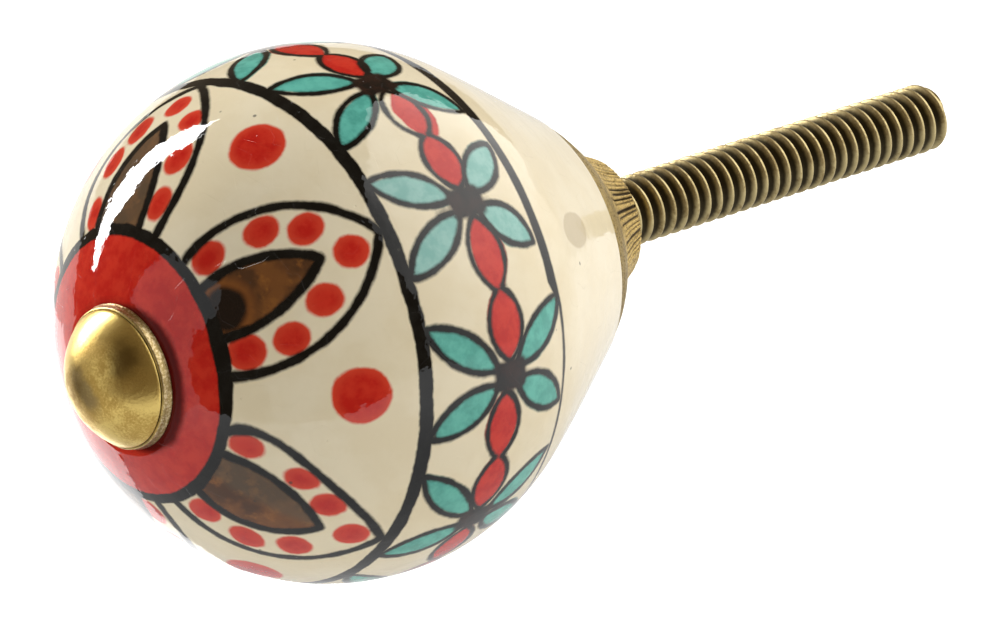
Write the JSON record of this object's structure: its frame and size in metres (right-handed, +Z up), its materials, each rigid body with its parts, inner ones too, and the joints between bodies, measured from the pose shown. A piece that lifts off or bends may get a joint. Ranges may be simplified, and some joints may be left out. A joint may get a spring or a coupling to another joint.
{
  "type": "cabinet knob",
  "caption": "Round glazed ceramic cabinet knob, hand painted, held between a dome-headed bolt and a cast brass collar, for a drawer or cupboard door.",
  "frame": {"origin": "on the knob's axis, in the plane of the hub's end, which meets the drawer front", "axes": "+Y along the axis, the way the bolt leaves the knob; the painted front faces -Y; +Z up as fitted on an upright drawer front"},
  "size_m": [0.0352, 0.0756, 0.0352],
  "materials": {
    "painted_ceramic": "clear gloss glaze over hand painting",
    "cast_brass": "antique, sand cast",
    "aged_brass": "aged, smooth worn head and dark thread roots"
  },
  "bodies": {
    "root": {"ceramic_knob": "painted_ceramic", "back_collar": "cast_brass", "dome_head_bolt": "aged_brass"}
  },
  "joints": []
}
